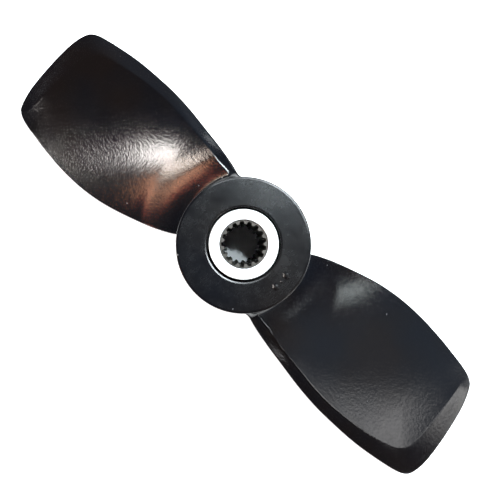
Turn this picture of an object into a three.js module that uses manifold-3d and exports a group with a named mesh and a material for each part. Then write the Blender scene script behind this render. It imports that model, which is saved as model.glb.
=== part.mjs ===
// Two-blade fixed marine propeller, left-handed, 16 in x 11 in, with a rubber
// torsion bush and a 17-tooth splined drive sleeve.
//
// Millimetres, +Z up. The hub axis is the Z axis. The origin is on the axis, in
// the plane of the hub's rear face, so the propeller stands on z = 0. The blades
// lie along +X and -X. The end with the white thrust ring faces +Z.
//
// Pieces:
//   propeller_casting  one aluminium casting, hub barrel and both blades
//   rubber_bush        rubber ring between the hub bore and the drive sleeve
//   drive_sleeve       splined metal sleeve that slides on the shaft
//   thrust_ring        white ring seated on the sleeve's front spigot

import * as THREE from 'three';
import { mergeVertices } from 'three/addons/utils/BufferGeometryUtils.js';
import Module from 'manifold-3d';

// ---------------------------------------------------------------- dimensions
const HUB_LENGTH = 76;          // rear face z = 0, front face z = HUB_LENGTH
const HUB_R_FRONT = 42.0;       // outside radius at the front face
const HUB_R_REAR = 41.0;        // outside radius at the rear face
const HUB_CHAMFER_FRONT = 0.9;  // rim break at the front face
const HUB_CHAMFER_REAR = 1.4;
const LIP_LENGTH = 8;           // front lip that hides the bush
const LIP_R = 23.3;             // opening through the front lip
const LIP_CHAMFER = 1.0;
const HUB_BORE_R = 30.3;        // bore that holds the bush
const BORE_CHAMFER_REAR = 1.2;

const BUSH_R_OUT = 30.0;        // rubber bush
const BUSH_R_IN = 20.3;
const BUSH_Z0 = 5;
const BUSH_Z1 = 65.5;
const BUSH_EDGE = 1.5;

const SLEEVE_R = 20.0;          // sleeve body
const SLEEVE_Z1 = 68.7;         // shoulder under the thrust ring
const SPIGOT_R = 14.95;         // front spigot that carries the ring
const SPIGOT_Z1 = 75.4;
const SLEEVE_CHAMFER = 1.0;
const SPLINE_TEETH = 17;
const SPLINE_R_TIP = 12.45;     // tooth tips, the minor radius
const SPLINE_R_ROOT = 14.2;     // roots, the major radius
const SPLINE_LEAD = 0.9;        // lead-in chamfer at the rear end of the spline
const SPLINE_LEAD_FRONT = 0.35; // and at the front end
const SPLINE_TURN = 2.0;        // degrees, angle of the first tooth

const RING_R_IN = 15.25;        // thrust ring
const RING_R_OUT = 21.8;
const RING_Z0 = 69.0;
const RING_Z1 = 77.0;
const RING_EDGE = 0.45;

// blade reference surface: a helicoid of pitch 2*pi*PITCH_K with a straight rake
const PITCH_K = 44.3;           // mm per radian, left-handed: z falls as angle grows
const PITCH_K_ROOT = 36.0;      // pitch eases off towards the hub
const Z_MID_REF = 36.0;         // height of the blade's middle line at R_REF
const R_REF = 93.6;
const RAKE = 0.2065;            // fall of the middle line per mm of radius
const Z_MID_ROOT = 43.6;        // height of the middle line at the hub
const ROOT_BLEND_R = 78;        // the root corrections end at this radius
const FILLET_R = 5.0;           // root fillet
const ROOT_R_INSIDE = 35.5;     // where the blade ends inside the hub wall

const T_ROOT = 13.5;            // blade thickness at the hub, mid chord
const T_TIP = 6.2;              // and at the tip
const T_EDGE_TE = 1.9;          // edge thickness
const T_EDGE_LE = 1.6;
const FACE_OFFSET = 1.1;        // front face above the reference surface
const EDGE_DROP = 0.34;         // share of the thickness by which the bevel brings the edge down
const CUP = 1.9;                // rise of the front face towards the cupped edge
const CUP_LENGTH = 20;          // how far in the cup reaches

// edge angles of the blade in degrees, against radius in mm
// (cupped edge at negative angle, thin edge at positive angle)
const EDGE = [
  [42, -42.6, 35.9], [48, -39.8, 36.1], [53, -37.4, 35.9], [58, -35.1, 35.3],
  [68, -31.35, 33.96], [78, -28.4, 32.4], [88, -26.2, 30.96], [98, -24.4, 29.7],
  [108, -22.7, 28.4], [118, -21.1, 26.95], [128, -19.48, 25.4], [138, -18.0, 23.74],
  [148, -16.63, 22.1], [158, -15.26, 20.41], [168, -13.88, 18.84], [178, -12.57, 17.27],
];
// tip outline from the cupped edge round to the thin edge, x and y in mm
const TIP = [
  [184.4, -36.7], [190.3, -34.9], [195.0, -31.4], [198.3, -26.0], [200.5, -19.0],
  [201.8, -9.0], [202.35, 1.0], [202.4, 11.0], [202.1, 20.5], [201.2, 30.0],
  [198.6, 39.7], [195.4, 45.4], [190.0, 49.2], [181.5, 51.4],
];
const CORNER_LE = 2;            // index of the middle of each rounded corner
const CORNER_TE = 11;
// line of the raised crest in plan: along the cupped edge, round the corner and
// across the tip, ending on the thin edge at CREST_END
const CREST = [
  [30.0, -24.6], [36.0, -25.0], [42.0, -25.6], [49.0, -26.3], [55.6, -27.9], [66.0, -29.7],
  [76.6, -30.9], [97.0, -33.3], [112.8, -34.1], [130.6, -33.3], [146.6, -31.3], [162.0, -28.4],
  [172.5, -25.0], [178.6, -20.6], [182.0, -14.0], [183.9, -6.0], [185.2, 4.0], [186.3, 16.0],
  [187.6, 31.0], [189.2, 45.7], [190.8, 60.0],
];
const CREST_END = [189.9, 49.2];
const CREST_CORNER = [178.6, -20.6];
const ROOT_Z_MAX = 74.6;        // the blade's front stays below this height

// mesh density
const NS_FACE = 21, NS_TIP = 4;  // steps from hub to crest and from crest to tip
const NT_EDGE = 4, NT_FACE = 12; // steps from cupped edge to crest and on to the thin edge
const HUB_SEG = 72;

// ------------------------------------------------------------------- helpers
const lerp = (a, b, t) => a + (b - a) * t;
const clamp = (x, a, b) => Math.min(b, Math.max(a, x));
const smooth = (t) => { const u = clamp(t, 0, 1); return u * u * (3 - 2 * u); };
const rad = (d) => d * Math.PI / 180;

const wasm = await Module();
wasm.setup();

function toManifold(geometry) {
  const g = geometry.clone();
  g.deleteAttribute('normal');
  if (g.attributes.uv) g.deleteAttribute('uv');
  const m = mergeVertices(g, 1e-4);
  return new wasm.Manifold(new wasm.Mesh({
    numProp: 3,
    vertProperties: new Float32Array(m.attributes.position.array),
    triVerts: new Uint32Array(m.index.array),
  }));
}

function fromManifold(solid) {
  const mesh = solid.getMesh();
  const g = new THREE.BufferGeometry();
  g.setAttribute('position', new THREE.Float32BufferAttribute(mesh.vertProperties, 3));
  g.setIndex(Array.from(mesh.triVerts));
  g.computeVertexNormals();
  return g;
}

// A closed ring turned about Z from a profile of [r, z] points. The profile is
// given anticlockwise in the (r, z) plane and closes on itself.
function turned(profile, seg) {
  const pts = profile.concat([profile[0]]).map(([r, z]) => new THREE.Vector2(r, z));
  const g = new THREE.LatheGeometry(pts, seg);
  g.rotateX(Math.PI / 2);
  return outward(g);
}

// Orders the faces so that they point out of the solid.
function outward(geometry) {
  const g0 = geometry.clone();
  g0.deleteAttribute('normal');
  if (g0.attributes.uv) g0.deleteAttribute('uv');
  const g = mergeVertices(g0, 1e-5);
  const p = g.attributes.position;
  const idx = Array.from(g.index.array);
  const keep = [];
  let vol = 0;
  const a = new THREE.Vector3(), b = new THREE.Vector3(), c = new THREE.Vector3();
  for (let i = 0; i < idx.length; i += 3) {
    const [i0, i1, i2] = [idx[i], idx[i + 1], idx[i + 2]];
    if (i0 === i1 || i1 === i2 || i0 === i2) continue;
    a.fromBufferAttribute(p, i0); b.fromBufferAttribute(p, i1); c.fromBufferAttribute(p, i2);
    vol += a.dot(b.cross(c)) / 6;
    keep.push(i0, i1, i2);
  }
  if (vol < 0) for (let i = 0; i < keep.length; i += 3) [keep[i + 1], keep[i + 2]] = [keep[i + 2], keep[i + 1]];
  g.setIndex(keep);
  g.computeVertexNormals();
  return g;
}

function sheetSolid(front, back, nu, nv) {
  // Two grids of the same size, front above back, joined by a band at the rim.
  const pos = [];
  const id = (k, i, j) => k * nu * nv + i * nv + j;
  for (const grid of [front, back]) for (const q of grid) pos.push(q.x, q.y, q.z);
  const f = [];
  const quad = (a, b, c, d) => f.push(a, b, c, a, c, d);
  for (let i = 0; i < nu - 1; i++) for (let j = 0; j < nv - 1; j++) {
    quad(id(0, i, j), id(0, i + 1, j), id(0, i + 1, j + 1), id(0, i, j + 1));
    quad(id(1, i, j), id(1, i, j + 1), id(1, i + 1, j + 1), id(1, i + 1, j));
  }
  for (let i = 0; i < nu - 1; i++) {
    quad(id(0, i, 0), id(1, i, 0), id(1, i + 1, 0), id(0, i + 1, 0));
    quad(id(0, i, nv - 1), id(0, i + 1, nv - 1), id(1, i + 1, nv - 1), id(1, i, nv - 1));
  }
  for (let j = 0; j < nv - 1; j++) {
    quad(id(0, 0, j), id(0, 0, j + 1), id(1, 0, j + 1), id(1, 0, j));
    quad(id(0, nu - 1, j), id(1, nu - 1, j), id(1, nu - 1, j + 1), id(0, nu - 1, j + 1));
  }
  const g = new THREE.BufferGeometry();
  g.setAttribute('position', new THREE.Float32BufferAttribute(pos, 3));
  g.setIndex(f);
  return outward(g);
}

// -------------------------------------------------------------------- blades
// smooth outline curves in plan, hub to corner, corner to corner
const edgePoint = (row, col) => new THREE.Vector3(
  row[0] * Math.cos(rad(row[col])), row[0] * Math.sin(rad(row[col])), 0);
const tipPoint = (q) => new THREE.Vector3(q[0], q[1], 0);

const outline = [
  ...EDGE.map((row) => edgePoint(row, 1)),
  ...TIP.map(tipPoint),
  ...EDGE.slice().reverse().map((row) => edgePoint(row, 2)),
];
const outlineCurve = new THREE.CatmullRomCurve3(outline, false, 'centripetal');
const N_OUT = outline.length - 1;
const U_LE = (EDGE.length + CORNER_LE) / N_OUT;
const U_TE = (EDGE.length + CORNER_TE) / N_OUT;

// the outline between two curve parameters, resampled to equal steps
function resample(u0, u1, reverse) {
  const fine = [];
  for (let i = 0; i <= 240; i++) fine.push(outlineCurve.getPoint(lerp(u0, u1, i / 240)));
  if (reverse) fine.reverse();
  const len = [0];
  for (let i = 1; i < fine.length; i++) len.push(len[i - 1] + fine[i].distanceTo(fine[i - 1]));
  return (t) => {
    const L = clamp(t, 0, 1) * len[len.length - 1];
    let i = 1;
    while (i < len.length - 1 && len[i] < L) i++;
    const k = (L - len[i - 1]) / Math.max(1e-9, len[i] - len[i - 1]);
    return fine[i - 1].clone().lerp(fine[i], k);
  };
}
const curveLE = resample(0, U_LE, false);
const curveTE = resample(U_TE, 1, true);
const curveTip = resample(U_LE, U_TE, false);
const rootLE = edgePoint(EDGE[0], 1);
const rootTE = edgePoint(EDGE[0], 2);

function curveRoot(t) {
  const a = lerp(rad(EDGE[0][1]), rad(EDGE[0][2]), t);
  return new THREE.Vector3(EDGE[0][0] * Math.cos(a), EDGE[0][0] * Math.sin(a), 0);
}

// plan position inside the outline: s from hub to tip, t from cupped to thin edge
function plan(s, t) {
  const a = curveLE(s).multiplyScalar(1 - t).add(curveTE(s).multiplyScalar(t));
  const b = curveRoot(t).multiplyScalar(1 - s).add(curveTip(t).multiplyScalar(s));
  const c = rootLE.clone().multiplyScalar((1 - s) * (1 - t))
    .add(rootTE.clone().multiplyScalar((1 - s) * t))
    .add(curveLE(1).multiplyScalar(s * (1 - t)))
    .add(curveTE(1).multiplyScalar(s * t));
  return a.add(b).sub(c);
}

// an open polyline with running lengths
function polyline(points) {
  const len = [0];
  for (let i = 1; i < points.length; i++) {
    len.push(len[i - 1] + Math.hypot(points[i].x - points[i - 1].x, points[i].y - points[i - 1].y));
  }
  return { points, len };
}

function nearest(line, x, y) {
  let d = 1e9, side = 0, along = 0;
  for (let i = 0; i < line.points.length - 1; i++) {
    const a = line.points[i], b = line.points[i + 1];
    const dx = b.x - a.x, dy = b.y - a.y, qx = x - a.x, qy = y - a.y;
    const k = clamp((qx * dx + qy * dy) / (dx * dx + dy * dy + 1e-12), 0, 1);
    const e = Math.hypot(qx - k * dx, qy - k * dy);
    if (e < d) { d = e; side = dx * qy - dy * qx; along = line.len[i] + k * (line.len[i + 1] - line.len[i]); }
  }
  return { d, side, along };
}

const crestLine = polyline(new THREE.CatmullRomCurve3(CREST.map(tipPoint), false, 'centripetal').getSpacedPoints(260));
const cornerAlong = nearest(crestLine, ...CREST_CORNER).along;
const rimPoints = [];
for (let i = 0; i <= 600; i++) rimPoints.push(outlineCurve.getPoint(i / 600));
let rimLast = 0;
rimPoints.forEach((q, i) => {
  const d = Math.hypot(q.x - CREST_END[0], q.y - CREST_END[1]);
  if (d < Math.hypot(rimPoints[rimLast].x - CREST_END[0], rimPoints[rimLast].y - CREST_END[1])) rimLast = i;
});
const rimLine = polyline(rimPoints.slice(0, rimLast + 1));

// signed distance to the crest, positive towards the rim
function crestOffset(x, y) {
  const n = nearest(crestLine, x, y);
  return { off: n.side < 0 ? n.d : -n.d, along: n.along };
}

// grid parameters at which a row or a column meets the crest
function crossing(at, count, from) {
  for (let i = 0; i <= count; i++) {
    const q = from > 0 ? 1 - i / count : i / count;
    const p = at(q);
    if (crestOffset(p.x, p.y).off < 0) return q;
  }
  return from;
}
const T_CREST = [], S_CREST = [];
for (let i = 0; i <= 20; i++) T_CREST.push(crossing((q) => plan(lerp(0.02, 0.80, i / 20), q), 260, 0));
for (let i = 0; i <= 20; i++) S_CREST.push(crossing((q) => plan(q, lerp(0.30, 0.97, i / 20)), 400, 1));
function lookUp(table, q) {
  const f = clamp(q, 0, 1) * (table.length - 1), i = Math.min(table.length - 2, Math.floor(f));
  return lerp(table[i], table[i + 1], f - i);
}
const tCrest = (s) => lookUp(T_CREST, (s - 0.02) / 0.78);
const sCrest = (t) => lookUp(S_CREST, (t - 0.30) / 0.67);

function helicoid(x, y) {
  const r = Math.hypot(x, y), a = Math.atan2(y, x);
  const mid = rad(lerp(-0.5, 1.35, clamp((r - 56) / 100, 0, 1)));
  const q = smooth((ROOT_BLEND_R - r) / (ROOT_BLEND_R - 42));
  const k = lerp(PITCH_K, PITCH_K_ROOT, q);
  const z = lerp(Z_MID_REF - RAKE * (r - R_REF), Z_MID_ROOT, q);
  return { z: z - k * (a - mid), slope: k / r, r };
}

function bladeGrids() {
  // markers: below 1 up to the crest, above 1 beyond it
  const sMarks = [0, 0.007, 0.017, 0.033].map((v) => ({ fixed: v }));
  for (let i = 1; i <= NS_FACE; i++) sMarks.push({ face: Math.pow(i / NS_FACE, 0.97) });
  for (let i = 1; i <= NS_TIP; i++) sMarks.push({ tip: i / NS_TIP });
  const tMarks = [];
  for (let j = 0; j <= NT_EDGE; j++) tMarks.push({ edge: j / NT_EDGE });
  for (let j = 1; j <= NT_FACE; j++) {
    const q = j / NT_FACE;
    tMarks.push({ face: lerp(q, 0.5 - 0.5 * Math.cos(Math.PI * q), 0.35) });
  }
  const rows = [];
  for (const sm of sMarks) {
    const row = [];
    for (const tm of tMarks) {
      let s = sm.fixed ?? 0.5, t = 0.5;
      for (let k = 0; k < 8; k++) {
        const tc = tCrest(s);
        t = tm.edge !== undefined ? tc * tm.edge : tc + (1 - tc) * tm.face;
        const sc = sCrest(t);
        if (sm.fixed === undefined) {
          s = sm.face !== undefined ? 0.033 + (sc - 0.033) * sm.face : sc + (1 - sc) * sm.tip;
        }
      }
      const p = plan(s, t);
      const h = helicoid(p.x, p.y);
      const d = Math.max(0, h.r - HUB_R_FRONT + 0.3);
      const flare = d < FILLET_R ? FILLET_R - Math.sqrt(FILLET_R ** 2 - (FILLET_R - d) ** 2) : 0;
      const span = clamp((h.r - 42) / 160, 0, 1);
      const cosPhi = 1 / Math.sqrt(1 + h.slope * h.slope);
      // thickness across the chord
      const Tm = lerp(T_ROOT, T_TIP, Math.pow(span, 0.8));
      const u = t < 0.4 ? (0.4 - t) / 0.4 : (t - 0.4) / 0.6;
      const T = t < 0.4 ? Tm * (1 - 0.12 * u * u) : lerp(T_EDGE_TE, Tm, 1 - Math.pow(u, 2.2));
      // how far the point lies from the crest towards the rim, 0 to 1
      const c = crestOffset(p.x, p.y);
      const rimD = nearest(rimLine, p.x, p.y).d;
      const tau = clamp(c.off / Math.max(c.off + rimD, 1e-6), 0, 1);
      const end = Math.hypot(p.x - CREST_END[0], p.y - CREST_END[1]);
      const corner = Math.exp(-(((c.along - cornerAlong) / 26) ** 2));
      const fall = Math.pow(tau, 1.28 + 0.42 * corner) * smooth((end - 1) / 13);
      const cup = CUP * Math.exp(-Math.abs(c.off) / CUP_LENGTH) * smooth((h.r - 44) / 26)
        * smooth((end - 2) / 26) * (1 - 0.35 * corner);
      const top = FACE_OFFSET / cosPhi + cup;
      const bot = (FACE_OFFSET - T) / cosPhi;
      // the edge itself: the bevel brings the front down to the edge thickness
      const edgeMid = -EDGE_DROP * T / cosPhi;
      let zt = lerp(top, edgeMid + T_EDGE_LE / 2, fall);
      let zb = lerp(bot, edgeMid - T_EDGE_LE / 2, Math.pow(fall, 2.2));
      // root fillet: the section swells outwards next to the hub
      if (flare > 0) {
        const ang = Math.atan2(p.y, p.x) + Math.sign(t - 0.5) * Math.pow(Math.abs(2 * t - 1), 6) * flare * cosPhi / h.r;
        p.x = h.r * Math.cos(ang); p.y = h.r * Math.sin(ang);
        const round = Math.sqrt(Math.max(0, 1 - Math.pow(Math.abs(2 * t - 1), 8)));
        zt += flare * round / cosPhi; zb -= flare * round / cosPhi;
      }
      const hz = helicoid(p.x, p.y).z;
      // held clear of the hub's front face and of the ground
      const soft = (v, w) => w * Math.log1p(Math.exp(Math.min(60, v / w))) + Math.max(0, v - 60 * w);
      const zBack = 0.4 + soft(hz + zb - 0.4, 0.8);
      const zFront = Math.max(ROOT_Z_MAX - soft(ROOT_Z_MAX - hz - zt, 1.6), zBack + 0.8);
      row.push({ x: p.x, y: p.y, zt: zFront, zb: zBack, r: h.r });
    }
    rows.push(row);
  }
  // first row repeated inside the hub wall
  const first = rows[0].map((q) => {
    const k = ROOT_R_INSIDE / Math.hypot(q.x, q.y);
    return { ...q, x: q.x * k, y: q.y * k };
  });
  rows.unshift(first);
  const front = [], back = [];
  for (const row of rows) for (const q of row) {
    front.push({ x: q.x, y: q.y, z: q.zt });
    back.push({ x: q.x, y: q.y, z: q.zb });
  }
  return { front, back, nu: rows.length, nv: tMarks.length };
}

// -------------------------------------------------------------------- casting
function makeCasting() {
  const barrel = turned([
    [HUB_BORE_R + BORE_CHAMFER_REAR, 0], [HUB_R_REAR - HUB_CHAMFER_REAR, 0],
    [HUB_R_REAR, HUB_CHAMFER_REAR], [HUB_R_FRONT, HUB_LENGTH - HUB_CHAMFER_FRONT],
    [HUB_R_FRONT - HUB_CHAMFER_FRONT, HUB_LENGTH], [LIP_R + LIP_CHAMFER, HUB_LENGTH],
    [LIP_R, HUB_LENGTH - LIP_CHAMFER], [LIP_R, HUB_LENGTH - LIP_LENGTH],
    [HUB_BORE_R, HUB_LENGTH - LIP_LENGTH], [HUB_BORE_R, BORE_CHAMFER_REAR],
  ], HUB_SEG);
  const { front, back, nu, nv } = bladeGrids();
  const blade = toManifold(sheetSolid(front, back, nu, nv));
  const blade2 = blade.rotate([0, 0, 180]);
  return fromManifold(toManifold(barrel).add(blade).add(blade2));
}

// ----------------------------------------------------------------------- bush
function makeBush() {
  return turned([
    [BUSH_R_IN + BUSH_EDGE, BUSH_Z0], [BUSH_R_OUT - BUSH_EDGE, BUSH_Z0],
    [BUSH_R_OUT, BUSH_Z0 + BUSH_EDGE], [BUSH_R_OUT, BUSH_Z1 - BUSH_EDGE],
    [BUSH_R_OUT - BUSH_EDGE, BUSH_Z1], [BUSH_R_IN + BUSH_EDGE, BUSH_Z1],
    [BUSH_R_IN, BUSH_Z1 - BUSH_EDGE], [BUSH_R_IN, BUSH_Z0 + BUSH_EDGE],
  ], 48);
}

// --------------------------------------------------------------------- sleeve
// spline section: one radius for each angle step, six points to a tooth
function splineRadius(i, lead) {
  const seq = [SPLINE_R_TIP, SPLINE_R_TIP, SPLINE_R_ROOT, SPLINE_R_ROOT];
  const r = seq[i % 4];
  return Math.max(r, SPLINE_R_TIP + lead);
}
function splineAngle(i) {
  const tooth = Math.floor(i / 4), k = i % 4;
  const off = [-0.17, 0.17, 0.30, 0.70][k];
  return ((tooth + off) / SPLINE_TEETH) * 2 * Math.PI + rad(SPLINE_TURN);
}
function makeSleeve() {
  const n = SPLINE_TEETH * 4;
  const lead = SPLINE_R_ROOT - SPLINE_R_TIP + 0.25;
  // loops of the closed section, each with n points: inside up, outside down
  const loops = [
    { z: 0, r: (i) => splineRadius(i, lead) },
    { z: SPLINE_LEAD + 1.0, r: (i) => splineRadius(i, 0) },
    { z: SPIGOT_Z1 - SPLINE_LEAD_FRONT, r: (i) => splineRadius(i, 0) },
    { z: SPIGOT_Z1, r: (i) => splineRadius(i, SPLINE_LEAD_FRONT * 0.6) },
    { z: SPIGOT_Z1, r: () => SPIGOT_R },
    { z: SLEEVE_Z1, r: () => SPIGOT_R },
    { z: SLEEVE_Z1, r: () => SLEEVE_R },
    { z: SLEEVE_CHAMFER, r: () => SLEEVE_R },
    { z: 0, r: () => SLEEVE_R - SLEEVE_CHAMFER },
  ];
  const pos = [], f = [];
  for (const loop of loops) for (let i = 0; i < n; i++) {
    const a = splineAngle(i), r = loop.r(i);
    pos.push(r * Math.cos(a), r * Math.sin(a), loop.z);
  }
  for (let l = 0; l < loops.length; l++) {
    const m = (l + 1) % loops.length;
    for (let i = 0; i < n; i++) {
      const k = (i + 1) % n;
      f.push(l * n + i, l * n + k, m * n + k, l * n + i, m * n + k, m * n + i);
    }
  }
  const g = new THREE.BufferGeometry();
  g.setAttribute('position', new THREE.Float32BufferAttribute(pos, 3));
  g.setIndex(f);
  return outward(g);
}

// ----------------------------------------------------------------------- ring
function makeRing() {
  return turned([
    [RING_R_IN, RING_Z0], [RING_R_OUT, RING_Z0], [RING_R_OUT, RING_Z1 - RING_EDGE],
    [RING_R_OUT - RING_EDGE, RING_Z1], [RING_R_IN + RING_EDGE, RING_Z1],
    [RING_R_IN, RING_Z1 - RING_EDGE],
  ], 64);
}

// ------------------------------------------------------------------- assembly
function piece(name, geometry, color, roughness, metalness) {
  const mesh = new THREE.Mesh(geometry, new THREE.MeshStandardMaterial({ color, roughness, metalness }));
  mesh.name = name;
  return mesh;
}

const propeller = new THREE.Group();
propeller.name = 'marine_propeller';
propeller.add(piece('propeller_casting', makeCasting(), 0x15161a, 0.28, 0.15));

const core = new THREE.Group();
core.name = 'drive_core';
core.add(piece('rubber_bush', makeBush(), 0x0d0d0e, 0.85, 0.0));
core.add(piece('drive_sleeve', makeSleeve(), 0x8d8478, 0.35, 1.0));
core.add(piece('thrust_ring', makeRing(), 0xf2f3f1, 0.45, 0.0));
propeller.add(core);

export default propeller;
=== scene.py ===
import math
import bpy
import bmesh
import numpy as np
from mathutils import Matrix, Vector


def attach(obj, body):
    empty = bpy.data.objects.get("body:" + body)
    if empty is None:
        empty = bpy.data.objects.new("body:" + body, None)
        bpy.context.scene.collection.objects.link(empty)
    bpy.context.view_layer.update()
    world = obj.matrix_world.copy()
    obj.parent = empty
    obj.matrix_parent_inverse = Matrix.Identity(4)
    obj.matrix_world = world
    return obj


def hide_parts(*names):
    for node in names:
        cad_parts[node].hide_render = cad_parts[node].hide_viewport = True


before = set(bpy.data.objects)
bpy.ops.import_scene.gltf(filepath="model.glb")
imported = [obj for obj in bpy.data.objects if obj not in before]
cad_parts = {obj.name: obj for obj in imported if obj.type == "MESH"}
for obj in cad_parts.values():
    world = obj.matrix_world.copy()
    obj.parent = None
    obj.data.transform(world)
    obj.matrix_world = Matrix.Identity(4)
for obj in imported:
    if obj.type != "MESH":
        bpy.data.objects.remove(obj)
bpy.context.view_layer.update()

MM = 0.001
scene = bpy.context.scene

# --------------------------------------------------------------------------
# dimensions, in millimetres, as on the CAD part
# --------------------------------------------------------------------------
HUB_LENGTH = 76.0
HUB_R_FRONT = 42.5  # half a millimetre over the CAD barrel: the rim of the face stands out a little
HUB_R_REAR = 41.0
LIP_LENGTH = 8.0
LIP_R = 23.3
HUB_BORE_R = 30.3
BUSH_R_OUT, BUSH_R_IN, BUSH_Z0, BUSH_Z1 = 30.0, 20.3, 5.0, 65.5
SLEEVE_R, SLEEVE_Z1 = 20.0, 68.7
SPIGOT_R, SPIGOT_Z1 = 14.95, 75.4
SPLINE_TEETH, SPLINE_R_TIP, SPLINE_R_ROOT, SPLINE_TURN = 17, 12.45, 14.2, 2.0
RING_R_IN, RING_R_OUT, RING_Z0, RING_Z1 = 15.25, 21.8, 69.0, 77.0

PITCH_K, PITCH_K_ROOT = 44.3, 36.0
Z_MID_REF, R_REF, RAKE, Z_MID_ROOT, ROOT_BLEND_R = 36.0, 93.6, 0.2065, 43.6, 78.0
FILLET_R = 5.0
ROOT_R_INSIDE = 35.5
T_ROOT, T_TIP, T_EDGE_TE, T_EDGE_LE = 13.5, 6.2, 1.9, 1.6
FACE_OFFSET, EDGE_DROP = 1.1, 0.34
CUP, CUP_LENGTH = 1.9, 20.0
CUP_ROOT, CUP_LENGTH_ROOT = 1.3, 15.0
ROOT_Z_MAX = 74.6

EDGE = np.array([
    [42, -42.6, 35.9], [48, -39.8, 36.1], [53, -37.4, 35.9], [58, -35.1, 35.3],
    [68, -31.35, 33.96], [78, -28.4, 32.4], [88, -26.2, 30.96], [98, -24.4, 29.7],
    [108, -22.7, 28.4], [118, -21.1, 26.95], [128, -19.48, 25.4], [138, -18.0, 23.74],
    [148, -16.63, 22.1], [158, -15.26, 20.41], [168, -13.88, 18.84], [178, -12.57, 17.27]])
TIP = np.array([
    [184.4, -36.7], [190.3, -34.9], [195.0, -31.4], [198.3, -26.0], [200.5, -19.0],
    [201.8, -9.0], [202.35, 1.0], [202.4, 11.0], [202.1, 20.5], [201.2, 30.0],
    [198.6, 39.7], [195.4, 45.4], [190.0, 49.2], [181.5, 51.4]])
CORNER_LE, CORNER_TE = 2, 11


def smooth(t):
    u = np.clip(t, 0.0, 1.0)
    return u * u * (3 - 2 * u)


def mix(a, b, t):
    return a + (b - a) * t


# --------------------------------------------------------------------------
# blade outline and surfaces
# --------------------------------------------------------------------------
def catmull(points, n):
    """Centripetal Catmull-Rom curve through the points, n samples to a span."""
    P = np.vstack([2 * points[0] - points[1], points, 2 * points[-1] - points[-2]])
    out = []
    for i in range(1, len(P) - 2):
        p0, p1, p2, p3 = P[i - 1], P[i], P[i + 1], P[i + 2]
        t0 = 0.0
        t1 = t0 + np.linalg.norm(p1 - p0) ** 0.5
        t2 = t1 + np.linalg.norm(p2 - p1) ** 0.5
        t3 = t2 + np.linalg.norm(p3 - p2) ** 0.5
        t = np.linspace(t1, t2, n, endpoint=False)[:, None]
        a1 = (t1 - t) / (t1 - t0) * p0 + (t - t0) / (t1 - t0) * p1
        a2 = (t2 - t) / (t2 - t1) * p1 + (t - t1) / (t2 - t1) * p2
        a3 = (t3 - t) / (t3 - t2) * p2 + (t - t2) / (t3 - t2) * p3
        b1 = (t2 - t) / (t2 - t0) * a1 + (t - t0) / (t2 - t0) * a2
        b2 = (t3 - t) / (t3 - t1) * a2 + (t - t1) / (t3 - t1) * a3
        out.append((t2 - t) / (t2 - t1) * b1 + (t - t1) / (t2 - t1) * b2)
    return np.vstack(out + [points[-1][None, :]])


def arc_param(C):
    L = np.r_[0.0, np.cumsum(np.hypot(*np.diff(C, axis=0).T))]
    return L


def resample(C, n):
    L = arc_param(C)
    t = np.linspace(0, L[-1], n)
    return np.c_[np.interp(t, L, C[:, 0]), np.interp(t, L, C[:, 1])]


def soften(C, sigma_steps, hold=6):
    """Gaussian smoothing along an evenly sampled curve with its ends held."""
    k = int(4 * sigma_steps)
    w = np.exp(-0.5 * (np.arange(-k, k + 1) / sigma_steps) ** 2)
    w /= w.sum()
    pad = np.vstack([2 * C[0] - C[k:0:-1], C, 2 * C[-1] - C[-2:-k - 2:-1]])
    S = np.c_[np.convolve(pad[:, 0], w, "valid"), np.convolve(pad[:, 1], w, "valid")]
    return S


def polar_pt(r, deg):
    a = np.radians(deg)
    return np.c_[r * np.cos(a), r * np.sin(a)]


_le = polar_pt(EDGE[:, 0], EDGE[:, 1])
_te = polar_pt(EDGE[:, 0], EDGE[:, 2])
_all = np.vstack([_le, TIP, _te[::-1]])
_dense = catmull(_all, 40)
_even = resample(_dense, 1600)
_soft = soften(_even, 9)
# indices of the two corners: closest samples to the corner points
_iLE = int(np.argmin(np.hypot(*(_soft - TIP[CORNER_LE]).T)))
_iTE = int(np.argmin(np.hypot(*(_soft - TIP[CORNER_TE]).T)))
C_LE = _soft[:_iLE + 1]
C_TIP = _soft[_iLE:_iTE + 1]
C_TE = _soft[_iTE:][::-1]


def on(C, t):
    L = arc_param(C)
    q = np.clip(t, 0, 1) * L[-1]
    return np.stack([np.interp(q, L, C[:, 0]), np.interp(q, L, C[:, 1])], axis=-1)


def edge_angle(C, r):
    R = np.hypot(C[:, 0], C[:, 1])
    a = np.arctan2(C[:, 1], C[:, 0])
    k = np.argsort(R[:900]) if len(R) > 900 else np.argsort(R)
    return np.interp(r, R[k], a[k])


def plan(s, t):
    """Plan position for s from hub to tip and t from the cupped to the thin edge."""
    s = np.asarray(s)[..., None] * np.ones_like(np.asarray(t))[..., None]
    t = np.asarray(t)[..., None] * np.ones_like(s)
    s1, t1 = s[..., 0], t[..., 0]
    root = C_LE[0] * 0
    a0, a1 = math.atan2(C_LE[0][1], C_LE[0][0]), math.atan2(C_TE[0][1], C_TE[0][0])
    r0 = math.hypot(*C_LE[0])
    ang = mix(a0, a1, t1)
    c_root = np.stack([r0 * np.cos(ang), r0 * np.sin(ang)], axis=-1)
    le, te, tip = on(C_LE, s1), on(C_TE, s1), on(C_TIP, t1)
    coons = (le * (1 - t) + te * t) + (c_root * (1 - s) + tip * s) - (
        C_LE[0] * (1 - s) * (1 - t) + C_TE[0] * (1 - s) * t
        + C_LE[-1] * s * (1 - t) + C_TE[-1] * s * t)
    r = r0 + s1 * 160.0
    ang = mix(edge_angle(C_LE, r), edge_angle(C_TE, r), t1)
    pol = np.stack([r * np.cos(ang), r * np.sin(ang)], axis=-1)
    w = smooth((s - 0.02) / 0.30)
    return pol * (1 - w) + coons * w


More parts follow.
